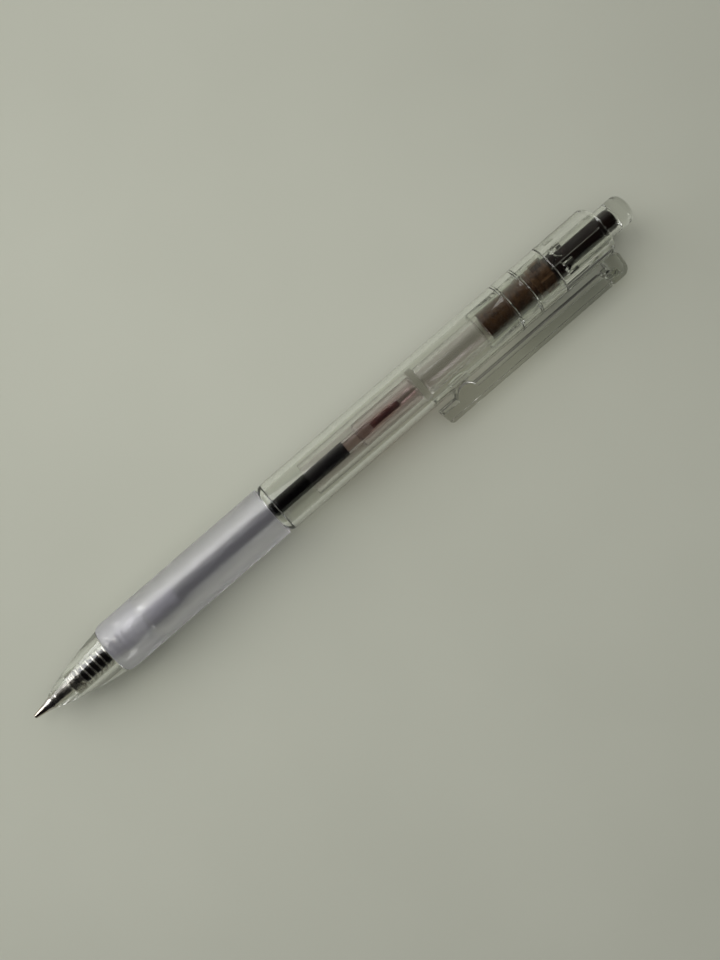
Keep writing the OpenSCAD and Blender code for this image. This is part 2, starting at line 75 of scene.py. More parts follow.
def frontOf(node):  # station of a CAD node's front end
    return (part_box(node)[0].x - tipX) / mm


def backOf(node):
    return (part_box(node)[1].x - tipX) / mm


def radiusOf(node):  # of a turned CAD node
    low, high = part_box(node)
    return (high.y - low.y) / mm / 2


print("frame loaded, pen", round(backOf("push_button"), 1), "mm long")


def linear(hexCode):  # sRGB hex to the linear colour that shaders use
    parts = [int(hexCode[i : i + 2], 16) / 255 for i in (0, 2, 4)]
    return tuple(c / 12.92 if c <= 0.04045 else ((c + 0.055) / 1.055) ** 2.4 for c in parts) + (1,)


def addNode(tree, kind, settings=None, links=None):  # one node; a setting given as a hex code is a colour
    node = tree.nodes.new(kind)
    for key, value in (settings or {}).items():
        if isinstance(key, str) and hasattr(node, key):
            setattr(node, key, value)
        else:
            node.inputs[key].default_value = linear(value) if isinstance(value, str) else value
    for key, socket in (links or {}).items():
        tree.links.new(socket, node.inputs[key])
    return node


def rounded(corners, closed=True, steps=5):  # corners are (x, y) or (x, y, fillet)
    points = []
    for i, corner in enumerate(corners):
        here = Vector(corner[:2])
        fillet = corner[2] if len(corner) > 2 else 0
        if not fillet or (not closed and i in (0, len(corners) - 1)):
            points.append(here)
            continue
        back = (Vector(corners[i - 1][:2]) - here).normalized()
        ahead = (Vector(corners[(i + 1) % len(corners)][:2]) - here).normalized()
        half = back.angle(ahead) / 2
        middle = here + (back + ahead).normalized() * fillet / math.sin(half)
        start = here + back * fillet / math.tan(half) - middle
        end = here + ahead * fillet / math.tan(half) - middle
        turn = math.atan2(start.x * end.y - start.y * end.x, start.dot(end))
        for step in range(steps + 1):
            angle = math.atan2(start.y, start.x) + turn * step / steps
            points.append(middle + fillet * Vector((math.cos(angle), math.sin(angle))))
    return points


def arc(centre, radius, angles):  # points round a centre, at angles in degrees
    turns = [math.radians(a) for a in angles]
    return [(centre[0] + radius * math.cos(t), centre[1] + radius * math.sin(t)) for t in turns]


def newMesh(name, points, edges=(), faces=()):
    mesh = bpy.data.meshes.new(name)
    mesh.from_pydata([tuple(p) if len(p) == 3 else (p[0], p[1], 0) for p in points], edges, faces)
    piece = bpy.data.objects.new(name, mesh)
    bpy.context.scene.collection.objects.link(piece)
    return piece


def inputOf(tree, name):  # identifier of a tree's named input
    sockets = [item for item in tree.interface.items_tree if item.item_type == "SOCKET"]
    return next(socket.identifier for socket in sockets if socket.name == name)


def grow(piece, tree, values):  # runs a tree on a piece and keeps the result as its plain mesh
    modifier = piece.modifiers.new(tree.name, "NODES")
    modifier.node_group = tree
    for name, value in values.items():
        modifier[inputOf(tree, name)] = value
    return settle(piece)


def settle(piece):  # swaps a piece's mesh for what its modifiers make of it
    bpy.context.view_layer.update()
    made = bpy.data.meshes.new_from_object(piece.evaluated_get(bpy.context.evaluated_depsgraph_get()))
    piece.modifiers.clear()
    piece.data = made
    return piece


def tidyMesh(piece, angle=32):  # closes seams, points faces outwards and keeps real edges crisp
    work = bmesh.new()
    work.from_mesh(piece.data)
    bmesh.ops.remove_doubles(work, verts=work.verts, dist=0.0004)
    bmesh.ops.dissolve_degenerate(work, edges=work.edges, dist=0.0002)
    bmesh.ops.recalc_face_normals(work, faces=work.faces)
    work.to_mesh(piece.data)
    work.free()
    piece.data.shade_smooth()
    piece.data.set_sharp_from_angle(angle=math.radians(angle))
    return piece


def treeWith(name, inputs):  # a new tree with named inputs, its first one the geometry
    tree = bpy.data.node_groups.new(name, "GeometryNodeTree")
    tree.interface.new_socket("Geometry", in_out="INPUT", socket_type="NodeSocketGeometry")
    for label, kind, value in inputs:
        socket = tree.interface.new_socket(label, in_out="INPUT", socket_type="NodeSocket" + kind)
        if value is not None:
            socket.default_value = value
    tree.interface.new_socket("Geometry", in_out="OUTPUT", socket_type="NodeSocketGeometry")
    return tree, addNode(tree, "NodeGroupInput").outputs


def endTree(tree, geometry, material):
    real = addNode(tree, "GeometryNodeRealizeInstances", links={"Geometry": geometry})
    dressed = addNode(
        tree, "GeometryNodeSetMaterial", links={"Geometry": real.outputs[0], "Material": material}
    )
    addNode(tree, "NodeGroupOutput", links={0: dressed.outputs[0]})
    return tree


# Turns an outline of (radius, station) points round the pen's axis
def makeTurningTree():
    tree, given = treeWith("turn_outline", [("Steps Round", "Int", 128), ("Material", "Material", None)])
    centre = addNode(
        tree, "GeometryNodeCurvePrimitiveCircle", {"Radius": 1e-5}, {"Resolution": given["Steps Round"]}
    )
    outline = addNode(tree, "GeometryNodeMeshToCurve", links={"Mesh": given["Geometry"]})
    turned = addNode(
        tree, "GeometryNodeCurveToMesh", links={"Curve": centre.outputs[0], "Profile Curve": outline.outputs[0]}
    )
    joined = addNode(
        tree, "GeometryNodeMergeByDistance", {"Distance": 0.0004}, {"Geometry": turned.outputs["Mesh"]}
    )
    return endTree(tree, joined.outputs[0], given["Material"])


# Repeats a shape in a ring round the pen's axis
def makeRingTree():
    tree, given = treeWith(
        "ring_of_copies", [("Count", "Int", 4), ("Step", "Float", math.pi / 2), ("Material", "Material", None)]
    )
    points = addNode(tree, "GeometryNodePoints", links={"Count": given["Count"]})
    index = addNode(tree, "GeometryNodeInputIndex")
    angle = addNode(tree, "ShaderNodeMath", {"operation": "MULTIPLY"}, {0: index.outputs[0], 1: given["Step"]})
    turn = addNode(tree, "ShaderNodeCombineXYZ", links={"Z": angle.outputs[0]})
    copies = addNode(
        tree,
        "GeometryNodeInstanceOnPoints",
        links={"Points": points.outputs[0], "Instance": given["Geometry"], "Rotation": turn.outputs[0]},
    )
    return endTree(tree, copies.outputs[0], given["Material"])


# Winds the return spring: close turns at both ends, open turns between
def makeSpringTree():
    tree, given = treeWith(
        "wind_spring",
        [
            ("Front Station", "Float", 0.0),
            ("Close Pitch", "Float", 0.45),
            ("Open Pitch", "Float", 1.2),
            ("Front Turns", "Float", 4.0),
            ("Open Turns", "Float", 7.5),
            ("All Turns", "Float", 13.5),
            ("Coil Radius", "Float", 2.0),
            ("Wire Radius", "Float", 0.2),
            ("Steps", "Int", 600),
            ("Wire Sides", "Int", 16),
            ("Material", "Material", None),
        ],
    )

    def reckon(kind, first, second):  # each of the two is a socket or a number
        links, settings = {}, {"operation": kind}
        for key, value in ((0, first), (1, second)):
            (settings if isinstance(value, (int, float)) else links)[key] = value
        return addNode(tree, "ShaderNodeMath", settings, links).outputs[0]

    line = addNode(tree, "GeometryNodeMeshLine", links={"Count": given["Steps"]})
    index = addNode(tree, "GeometryNodeInputIndex").outputs[0]
    share = reckon("DIVIDE", index, reckon("SUBTRACT", given["Steps"], 1))
    turn = reckon("MULTIPLY", share, given["All Turns"])
    early = reckon("MINIMUM", turn, given["Front Turns"])
    past = reckon("MAXIMUM", reckon("SUBTRACT", turn, given["Front Turns"]), 0)
    middle = reckon("MINIMUM", past, given["Open Turns"])
    late = reckon("SUBTRACT", reckon("SUBTRACT", turn, early), middle)
    rise = reckon("MULTIPLY", reckon("ADD", early, late), given["Close Pitch"])
    rise = reckon("ADD", rise, reckon("MULTIPLY", middle, given["Open Pitch"]))
    angle = reckon("MULTIPLY", turn, 2 * math.pi)
    place = addNode(
        tree,
        "ShaderNodeCombineXYZ",
        links={
            "X": reckon("MULTIPLY", reckon("COSINE", angle, 0), given["Coil Radius"]),
            "Y": reckon("MULTIPLY", reckon("SINE", angle, 0), given["Coil Radius"]),
            "Z": reckon("ADD", rise, given["Front Station"]),
        },
    )
    wound = addNode(
        tree, "GeometryNodeSetPosition", links={"Geometry": line.outputs[0], "Position": place.outputs[0]}
    )
    path = addNode(tree, "GeometryNodeMeshToCurve", links={"Mesh": wound.outputs[0]})
    level = addNode(tree, "GeometryNodeSetCurveNormal", {"mode": "Z_UP"}, {"Curve": path.outputs[0]})
    wire = addNode(
        tree,
        "GeometryNodeCurvePrimitiveCircle",
        links={"Resolution": given["Wire Sides"], "Radius": given["Wire Radius"]},
    )
    drawn = addNode(
        tree,
        "GeometryNodeCurveToMesh",
        {"Fill Caps": True},
        {"Curve": level.outputs[0], "Profile Curve": wire.outputs[0]},
    )
    return endTree(tree, drawn.outputs[0], given["Material"])


turningTree = makeTurningTree()
ringTree = makeRingTree()
springTree = makeSpringTree()


def turned(name, outline, material, closed=True, steps=128):
    count = len(outline)
    edges = [(i, (i + 1) % count) for i in range(count if closed else count - 1)]
    piece = newMesh(name, [(p[0], -p[1]) for p in outline], edges)  # the sweep turns an outline's y to -z
    return tidyMesh(grow(piece, turningTree, {"Steps Round": steps, "Material": material}))


def ringOf(shape, material):  # four copies, a quarter turn apart
    return grow(shape, ringTree, {"Count": 4, "Step": math.pi / 2, "Material": material})


# A plate across the pen from an outline of (x, z) points
def block(name, outline, halfWidth, edgeRound=0.0, segments=3):
    count = len(outline)
    near = [(p[0], -halfWidth, p[1]) for p in outline]
    far = [(p[0], halfWidth, p[1]) for p in outline]
    sides = [(i, (i + 1) % count, (i + 1) % count + count, i + count) for i in range(count)]
    faces = [tuple(range(count)), tuple(range(2 * count - 1, count - 1, -1))] + sides
    piece = newMesh(name, near + far, faces=faces)
    work = bmesh.new()
    work.from_mesh(piece.data)
    bmesh.ops.recalc_face_normals(work, faces=work.faces)
    if edgeRound:
        rims = [e for e in work.edges if abs(e.verts[0].co.y - e.verts[1].co.y) < 1e-6]
        bmesh.ops.bevel(
            work,
            geom=rims,
            offset=edgeRound,
            segments=segments,
            profile=0.5,
            affect="EDGES",
            clamp_overlap=True,
        )
    work.to_mesh(piece.data)
    work.free()
    return piece


def combine(piece, other, how):  # how is UNION or DIFFERENCE; other is used up
    modifier = piece.modifiers.new(how, "BOOLEAN")
    modifier.solver = "MANIFOLD"
    modifier.operation = how
    modifier.object = other
    settle(piece)
    bpy.data.objects.remove(other)
    return piece


def turnRound(piece, degrees):  # about the pen's axis
    piece.data.transform(Matrix.Rotation(math.radians(degrees), 4, "Z"))
    return piece


def place(piece, material, body, node, slot):
    piece.data.transform(layDown)
    piece.data.materials.clear()
    piece.data.materials.append(material)
    for face in piece.data.polygons:
        face.material_index = 0
    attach(piece, body)
    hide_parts(node)
    print(piece.name, len(piece.data.polygons), "faces")
    return piece


def placeTurned(node, outline, material, body, slot, closed=True, steps=128):
    return place(turned(node + "_visual", outline, material, closed, steps), material, body, node, slot)


def newMaterial(name):
    material = bpy.data.materials.new(name)
    material.use_nodes = True
    material.node_tree.nodes.clear()
    return material, material.node_tree


def mottle(tree, size, detail, stretch):  # noise whose blobs are about size millimetres wide
    coords = addNode(tree, "ShaderNodeTexCoord").outputs["Object"]
    if stretch != (1, 1, 1):
        coords = addNode(tree, "ShaderNodeMapping", {"Scale": stretch}, {"Vector": coords}).outputs[0]
    settings = {"Scale": 1 / (size * mm), "Detail": detail}
    return addNode(tree, "ShaderNodeTexNoise", settings, {"Vector": coords}).outputs[0]


def patchy(tree, size, detail, low, high, stretch=(1, 1, 1)):  # a value that wanders between low and high
    limits = {"From Min": 0.3, "From Max": 0.7, "To Min": low, "To Max": high}
    return addNode(tree, "ShaderNodeMapRange", limits, {0: mottle(tree, size, detail, stretch)}).outputs[0]


def relief(tree, size, detail, strength, depth, stretch=(1, 1, 1)):  # an uneven surface, depth in millimetres
    settings = {"Strength": strength, "Distance": depth * mm}
    height = mottle(tree, size, detail, stretch)
    return addNode(tree, "ShaderNodeBump", settings, {"Height": height}).outputs[0]


def alongPen(tree, station, blur, before, after):  # a value that changes at one station of the pen
    coords = addNode(tree, "ShaderNodeTexCoord").outputs["Object"]
    along = addNode(tree, "ShaderNodeSeparateXYZ", links={0: coords}).outputs["X"]
    edge = tipX + station * mm
    limits = {"From Min": edge - blur * mm, "From Max": edge + blur * mm, "To Min": before, "To Max": after}
    return addNode(tree, "ShaderNodeMapRange", limits, {0: along}).outputs[0]


# Lamps shine straight through a clear piece and are only tinted. Everything else meets its real surface.
def letLampsThrough(tree, surface, shade):
    straight = addNode(tree, "ShaderNodeBsdfTransparent", {"Color": shade})
    ray = addNode(tree, "ShaderNodeLightPath")
    mixed = addNode(
        tree,
        "ShaderNodeMixShader",
        links={0: ray.outputs["Is Shadow Ray"], 1: surface.outputs[0], 2: straight.outputs[0]},
    )
    addNode(tree, "ShaderNodeOutputMaterial", links={"Surface": mixed.outputs[0]})


# Moulded clear plastic: see-through, faintly wavy where the melt met the mould, finely scuffed by handling
def clearPlastic(name, values):
    material, tree = newMaterial(name)
    waves = values["waveSize"], 2, values["waveStrength"], values["waveDepth"]
    scuffs = values["scuffSize"], 5, values["smooth"], values["scuffed"]
    shell = addNode(
        tree,
        "ShaderNodeBsdfPrincipled",
        {
            "Base Color": values["tint"],
            "Transmission Weight": 1.0,
            "IOR": values["ior"],
            "Coat Weight": values.get("dull", 0.0),
            "Coat Roughness": values.get("dullness", 0.3),
        },
        {
            "Roughness": patchy(tree, *scuffs, (0.25, 1, 1)),
            "Normal": relief(tree, *waves, (0.35, 1, 1)),
        },
    )
    letLampsThrough(tree, shell, values["shade"])
    return material


# Polystyrene shells, polished mould: bright thin edge lines and a very slight grey-green cast
shellPlastic = clearPlastic(
    "polystyrene_clear_moulded",
    {
        "tint": "F9FAF7",
        "shade": "FEFEFC",
        "ior": 1.55,
        "smooth": 0.012,
        "scuffed": 0.035,
        "waveSize": 9,
        "waveStrength": 0.25,
        "waveDepth": 0.03,
        "scuffSize": 1.2,
    },
)

# Carrier: the same family of plastic, but with a duller moulded skin, so the tube looks slightly milky
carrierPlastic = clearPlastic(
    "polypropylene_milky_moulded",
    {
        "tint": "F8F5F6",
        "shade": "F3F1F0",
        "ior": 1.5,
        "smooth": 0.04,
        "scuffed": 0.09,
        "dull": 0.25,
        "dullness": 0.35,
        "waveSize": 6,
        "waveStrength": 0.3,
        "waveDepth": 0.03,
        "scuffSize": 1.5,
    },
)

# Ink tube and tail plug: extruded and moulded polypropylene, faintly pink-grey
tubePlastic = clearPlastic(
    "polypropylene_tube_extruded",
    {
        "tint": "F8F3F3",
        "shade": "F3EFEE",
        "ior": 1.49,
        "smooth": 0.02,
        "scuffed": 0.06,
        "waveSize": 4,
        "waveStrength": 0.25,
        "waveDepth": 0.02,
        "scuffSize": 1,
    },
)

# Follower behind the ink: clear grease with soft streaks, faintly pink
followerGel = clearPlastic(
    "follower_grease_clear",
    {
        "tint": "F6E6E2",
        "shade": "F0E2DC",
        "ior": 1.47,
        "smooth": 0.02,
        "scuffed": 0.08,
        "waveSize": 2,
        "waveStrength": 0.4,
        "waveDepth": 0.04,
        "scuffSize": 0.8,
    },
)


# Grip: soft moulded rubber with a fine etched skin. It blurs what is inside and looks lilac-white.
rubber = {
    "milk": "F4F3FA",
    "skin": "FBFAFD",
    "shade": "F4F4F6",
    "ior": 1.41,
    "blur": (0.29, 0.33),
    "blurSize": 5,
    "milkShare": 0.085,
    "lockShare": 0.17,
    "glowShare": 0.35,
    "grainSize": 0.25,
    "grainStrength": 0.35,
    "grainDepth": 0.01,
}


def gripRubberLook():
    material, tree = newMaterial("elastomer_frosted_moulded")
    pores = relief(tree, rubber["grainSize"], 4, rubber["grainStrength"], rubber["grainDepth"])
    blurred = addNode(
        tree,
        "ShaderNodeBsdfPrincipled",
        {"Base Color": rubber["skin"], "Transmission Weight": 1.0, "IOR": rubber["ior"]},
        {"Roughness": patchy(tree, rubber["blurSize"], 2, *rubber["blur"]), "Normal": pores},
    )
    white = addNode(
        tree, "ShaderNodeBsdfPrincipled", {"Base Color": rubber["milk"], "Roughness": 0.5}, {"Normal": pores}
    )
    glow = addNode(tree, "ShaderNodeBsdfTranslucent", {"Color": rubber["milk"]}, {"Normal": pores})
    milk = addNode(
        tree, "ShaderNodeMixShader", {0: rubber["glowShare"]}, {1: white.outputs[0], 2: glow.outputs[0]}
    )
    # The rubber is thicker, and so whiter, where it sits in the groove round the neck
    lockEnd = frontOf("barrel") + barrel["lockLen"]
    share = alongPen(tree, lockEnd, 0.2, rubber["lockShare"], rubber["milkShare"])
    body = addNode(tree, "ShaderNodeMixShader", links={0: share, 1: blurred.outputs[0], 2: milk.outputs[0]})
    letLampsThrough(tree, body, rubber["shade"])
    return material


# Opaque moulded or metal surfaces share this build: a colour that wanders a little, and a fine bump
def solidLook(name, values):
    material, tree = newMaterial(name)
    size, stretch = values["patchSize"], values.get("patchStretch", (1, 1, 1))
    colours = {"data_type": "RGBA", 6: values["dark"], 7: values["light"]}
    base = addNode(tree, "ShaderNodeMix", colours, {"Factor": patchy(tree, size, 4, 0, 1, stretch)}).outputs[2]
    # A brown film laid over the front of a piece; on the cam it is partly grease and partly painted sheen
    if "film" in values:
        thick, thin = values["film"]
        filmPatches = patchy(tree, values["filmSize"], 5, 0, 1)
        film = addNode(tree, "ShaderNodeMix", {"data_type": "RGBA", 6: thick, 7: thin}, {"Factor": filmPatches})
        cover = alongPen(tree, values["filmEnd"], 0.3, 1, 0)
        base = addNode(
            tree, "ShaderNodeMix", {"data_type": "RGBA"}, {"Factor": cover, 6: base, 7: film.outputs[2]}
        ).outputs[2]
    grain = values["grainSize"], 3, values["grainStrength"], values["grainDepth"]
    surface = addNode(
        tree,
        "ShaderNodeBsdfPrincipled",
        {"Metallic": values.get("metallic", 0.0), "IOR": values.get("ior", 1.5)},
        {
            "Base Color": base,
            "Roughness": patchy(tree, size, 4, values["smooth"], values["rough"], stretch),
            "Normal": relief(tree, *grain, values.get("grainStretch", (1, 1, 1))),
        },
    )
    addNode(tree, "ShaderNodeOutputMaterial", links={"Surface": surface.outputs[0]})
    return material


# Stainless sleeve, turned: fine rings round the axis and a soft bright streak along it
steel = solidLook(
    "stainless_steel_turned",
    {
        "dark": "B9B4B0",
        "light": "D6D2CD",
        "metallic": 1.0,
        "smooth": 0.18,
        "rough": 0.28,
        "patchSize": 3,
        "grainSize": 0.12,
        "grainStretch": (1, 0.05, 0.05),
        "grainStrength": 0.2,
        "grainDepth": 0.004,
    },
)

# Nickel silver point: a touch warmer and a little duller than the sleeve
nickelSilver = solidLook(
    "nickel_silver_turned",
    {
        "dark": "B5AC9F",
        "light": "D8D0C3",
        "metallic": 1.0,
        "smooth": 0.16,
        "rough": 0.26,
        "patchSize": 2,
        "grainSize": 0.1,
        "grainStretch": (1, 0.05, 0.05),
        "grainStrength": 0.25,
        "grainDepth": 0.004,
    },
)

# Tungsten carbide ball: dark grey, mirror smooth
carbide = solidLook(
    "tungsten_carbide_ground",
    {
        "dark": "77777B",
        "light": "8D8D90",
        "metallic": 1.0,
        "smooth": 0.08,
        "rough": 0.14,
        "patchSize": 0.5,
        "grainSize": 0.1,
        "grainStrength": 0.1,
        "grainDepth": 0.002,
    },
)

# Spring wire, drawn and nickel-bright
springWire = solidLook(
    "spring_steel_drawn",
    {
        "dark": "B4B0AB",
        "light": "DCD9D4",
        "metallic": 1.0,
        "smooth": 0.14,
        "rough": 0.24,
        "patchSize": 1.5,
        "grainSize": 0.15,
        "grainStrength": 0.2,
        "grainDepth": 0.004,
    },
)

# Black acetal of the holder: moulded, with almost no colour and little gloss
blackPlastic = solidLook(
    "acetal_black_moulded",
    {
        "dark": "040303",
        "light": "0C0908",
        "ior": 1.3,
        "smooth": 0.25,
        "rough": 0.4,
        "patchSize": 1.6,
        "grainSize": 0.3,
        "grainStrength": 0.3,
        "grainDepth": 0.01,
    },
)

# The cam is the same black acetal, but its sliding part wears a brown film in patches: partly old grease,
# partly painted sheen standing in for the brownish reflected veil over the cam
greaseAndSheenPlastic = solidLook(
    "acetal_black_grease_and_sheen",
    {
        "dark": "150B06",
        "light": "0A0705",
        "ior": 1.3,
        "smooth": 0.25,
        "rough": 0.45,
        "patchSize": 1.6,
        "grainSize": 0.3,
        "grainStrength": 0.4,
        "grainDepth": 0.015,
        "film": ("5E4630", "2A1A0F"),
        "filmSize": 0.8,
        "filmEnd": backOf("refill_carrier") + 4.2,
    },
)

# Refill joint: natural smoky plastic, seen only through the grip
jointPlastic = solidLook(
    "polypropylene_natural_moulded",
    {
        "dark": "8A8890",
        "light": "A3A1A8",
        "smooth": 0.3,
        "rough": 0.42,
        "patchSize": 2,
        "grainSize": 0.3,
        "grainStrength": 0.2,
        "grainDepth": 0.01,
    },
)

# Gel ink: black, and it wets the tube, so hardly any light is mirrored where they meet
inkBlack = solidLook(
    "gel_ink_black",
    {
        "ior": 1.05,
        "dark": "020202",
        "light": "0B0A08",
        "smooth": 0.08,
        "rough": 0.2,
        "patchSize": 2.5,
        "patchStretch": (0.4, 1, 1),
        "grainSize": 0.8,
        "grainStrength": 0.2,
        "grainDepth": 0.01,
    },
)

# Float: brown moulded rod, softened by the grease round it
floatBrown = solidLook(
    "polypropylene_brown_moulded",
    {
        "dark": "5A3A36",
        "light": "8A6660",
        "smooth": 0.3,
        "rough": 0.45,
        "patchSize": 1.2,
        "grainSize": 0.3,
        "grainStrength": 0.2,
        "grainDepth": 0.01,
    },
)

print("materials ready")


def thread(points, radius, first, pitch, rise, count):  # rounded ridges along a straight stretch
    for i in range(count):
        start = first + (i - 0.25) * pitch
        points += [(radius, start), (radius + rise, start + 0.17 * pitch, 0.04)]
        points += [(radius + rise, start + 0.33 * pitch, 0.04), (radius, start + 0.5 * pitch)]


point = {
    "ballShow": 0.28,
    "coneBack": 2.65,
    "coneRadius": 0.85,
    "stem": 0.55,
    "sleeveCone": 1.4,
    "wall": 0.3,
    "notch": 0.3,
    "notchLen": 0.3,
    "notchDepth": 0.05,
}


def makePoint():
    ball = radiusOf("writing_ball")
    shine = [
        (ball * math.sin(math.radians(a)), ball * (1 - math.cos(math.radians(a)))) for a in range(0, 181, 6)
    ]
    placeTurned("writing_ball", shine, carbide, "ball", "hard_metal", closed=False, steps=48)
    lip = point["ballShow"] * 2 * ball
    coneBack = point["coneBack"]
    coneEnd = coneBack + point["sleeveCone"]
    cone = [(0, lip + 0.25), (ball * 0.8, lip + 0.05), (ball + 0.035, lip, 0.015)]
    cone += [(point["coneRadius"], coneBack, 0.03), (point["stem"], coneBack + 0.04)]
    cone += [(point["stem"], coneEnd), (0, coneEnd)]
    cone = rounded(cone, closed=False)
    placeTurned("point_metal", cone, nickelSilver, "refill", "nickel_silver", closed=False, steps=96)
    sleeve, back = radiusOf("point_sleeve"), backOf("point_sleeve")
    front, bore, inner = coneBack + fitGap, point["stem"] + fitGap, sleeve - point["wall"]
    notch, floor = coneEnd + point["notch"], sleeve - point["notchDepth"]
    notchEnd = notch + point["notchLen"]
    tube = [(bore, front), (point["coneRadius"] + 0.02, front, 0.02), (sleeve, coneEnd, 0.25)]
    tube += [(sleeve, notch), (floor, notch + 0.04), (floor, notchEnd - 0.04), (sleeve, notchEnd)]
    tube += [(sleeve, back, 0.06), (inner, back), (inner, coneEnd), (bore, coneEnd)]
    placeTurned("point_sleeve", rounded(tube), steel, "refill", "steel")


makePoint()

holder = {"radius": 1.45, "front": 12.15, "plug": 0.9}


def makeHolder():
    front, back = frontOf("point_holder"), backOf("point_holder")
    shoulder = frontOf("refill_joint") - fitGap
    rod = [(0, front), (holder["plug"], front, 0.1), (holder["plug"], holder["front"])]
    rod += [(holder["radius"], holder["front"], 0.1), (holder["radius"], shoulder, 0.05)]
    rod += [(holder["plug"], shoulder), (holder["plug"], back, 0.1), (0, back)]
    rod = rounded(rod, closed=False)
    placeTurned("point_holder", rod, blackPlastic, "refill", "black_plastic", closed=False, steps=96)


makeHolder()

joint = {
    "radius": 1.85,
    "flangeLen": 0.8,
    "holderBore": 0.93,
    "holderDepth": 2.6,
    "channel": 0.25,
    "tubeBore": 1.53,
    "tubeDepth": 2.6,
    "grooveAt": 1.65,
    "grooveStep": 1.25,
    "grooveWidth": 0.55,
    "grooveDepth": 0.18,
}


def makeJoint():
    front, back = frontOf("refill_joint"), backOf("refill_joint")
    flange, body = radiusOf("refill_joint"), joint["radius"]
    floor, width = body - joint["grooveDepth"], joint["grooveWidth"]
    flangeBack, holderStop = front + joint["flangeLen"], front + joint["holderDepth"]
    tubeStop = back - joint["tubeDepth"]
    corners = [(joint["holderBore"], front), (flange, front, 0.08), (flange, flangeBack, 0.08)]
    corners += [(body, flangeBack, 0.1)]
    for i in (1, 0):
        start = back - joint["grooveAt"] - i * joint["grooveStep"] - width
        corners += [(body, start), (floor, start + 0.12, 0.05)]
        corners += [(floor, start + width - 0.12, 0.05), (body, start + width)]
    corners += [(body, back, 0.15), (joint["tubeBore"], back), (joint["tubeBore"], tubeStop)]
    corners += [(joint["channel"], tubeStop), (joint["channel"], holderStop), (joint["holderBore"], holderStop)]
    placeTurned("refill_joint", rounded(corners), jointPlastic, "refill", "joint_plastic", steps=96)


makeJoint()

spring = {
    "wire": 0.42,
    "front": 4.0,
    "open": 7.5,
    "back": 2.0,
    "slack": 0.03,
    "steps": 900,
    "wireSides": 20,
}  # front, open and back count turns


def makeSpring():
    front, back = frontOf("return_spring"), backOf("return_spring")
    wire, closePitch = spring["wire"], spring["wire"] + spring["slack"]
    closeTurns = spring["front"] + spring["back"]
    length = back - front - wire
    piece = newMesh("return_spring_visual", [(0, 0, 0)])
    grow(
        piece,
        springTree,
        {
            "Front Station": front + wire / 2,
            "Close Pitch": closePitch,
            "Open Pitch": (length - closeTurns * closePitch) / spring["open"],
            "Front Turns": spring["front"],
            "Open Turns": spring["open"],
            "All Turns": closeTurns + spring["open"],
            "Coil Radius": radiusOf("return_spring") - wire / 2,
            "Wire Radius": wire / 2,
            "Steps": spring["steps"],
            "Wire Sides": spring["wireSides"],
            "Material": springWire,
        },
    )
    tidyMesh(piece, 50)
    piece.data.transform(layDown)
    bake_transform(piece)
    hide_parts("return_spring")


makeSpring()

nose = {
    "mouth": 1.51,
    "mouthBore": 1.29,
    "lip": 1.0,
    "lipSlope": 0.15,
    "throat": 1.5,
    "seat": 4.4,
    "backRadius": 4.65,
    "bulge": 0.35,
    "curveSteps": 16,
    "spigot": 3.16,
    "chamber": 2.38,
    "threads": 4,
    "pitch": 0.78,
    "rise": 0.16,
}


def makeNose():
    front, end, back = frontOf("nose_cone"), backOf("nose_cone"), frontOf("barrel") - fitGap
    seat = front + nose["seat"]
    corners = [(nose["mouth"], front, 0.05)]
    for i in range(1, nose["curveSteps"]):
        t = i / nose["curveSteps"]
        radius = nose["mouth"] + (nose["backRadius"] - nose["mouth"]) * t + 4 * nose["bulge"] * t * (1 - t)
        corners.append((radius, front + (back - front) * t))
    corners += [(nose["backRadius"], back, 0.12), (nose["spigot"], back, 0.1)]
    threadFront = end - (nose["threads"] + 1) * nose["pitch"]
    thread(corners, nose["spigot"], threadFront, nose["pitch"], nose["rise"], nose["threads"])
    corners += [(nose["spigot"], end, 0.12), (nose["chamber"], end, 0.08), (nose["chamber"], seat, 0.05)]
    corners += [(nose["throat"], seat, 0.05), (nose["throat"], front + nose["lip"] + nose["lipSlope"])]
    corners += [(nose["mouthBore"], front + nose["lip"]), (nose["mouthBore"], front, 0.05)]
    placeTurned("nose_cone", rounded(corners), shellPlastic, "root", "clear_plastic", steps=160)


makeNose()

barrel = {
    "neck": 4.14,
    "neckBore": 3.19,
    "bore": 4.0,
    "shoulderRound": 1.2,
    "lockLen": 8.5,
    "lockDepth": 0.25,
    "edge": 0.12,
    "beadAt": (7.1, 11.4),
    "beadDepth": 0.15,
    "skirt": 17.3,
    "threadPlay": 0.03,
}


def makeBarrel():
    front, end, radius = frontOf("barrel"), backOf("barrel"), radiusOf("barrel")
    shoulder, turn = backOf("grip_sleeve") + fitGap, barrel["shoulderRound"]
    inner = shoulder + turn
    lock = front - fitGap + barrel["lockLen"]
    neck, bore, groove = barrel["neck"], barrel["bore"], barrel["neck"] - barrel["lockDepth"]
    corners = [(groove, front, 0.1), (groove, lock), (neck, lock, 0.05), (neck, shoulder)]
    corners += [(radius - turn, shoulder)] + arc((radius - turn, inner), turn, range(-80, 1, 10))
    corners += [(radius, end, barrel["edge"]), (bore, end, barrel["edge"])]
    for offset in reversed(barrel["beadAt"]):
        bead, deep = end - barrel["skirt"] + offset, bore + barrel["beadDepth"]
        corners += [(bore, bead + 0.33), (deep, bead + 0.13), (deep, bead - 0.13), (bore, bead - 0.33)]
    corners += [(bore, inner, 0.2), (barrel["neckBore"], inner, 0.1)]
    rings = []
    threadFront = backOf("nose_cone") - (nose["threads"] + 1) * nose["pitch"]
    rise = nose["rise"] + barrel["threadPlay"]
    thread(rings, barrel["neckBore"], threadFront, nose["pitch"], rise, nose["threads"])
    corners += [ring[:2] for ring in reversed(rings)] + [(barrel["neckBore"], front, 0.1)]
    placeTurned("barrel", rounded(corners), shellPlastic, "root", "clear_plastic", steps=192)


makeBarrel()

grip = {"roundLen": 1.5, "wall": 0.93, "edge": 0.15}


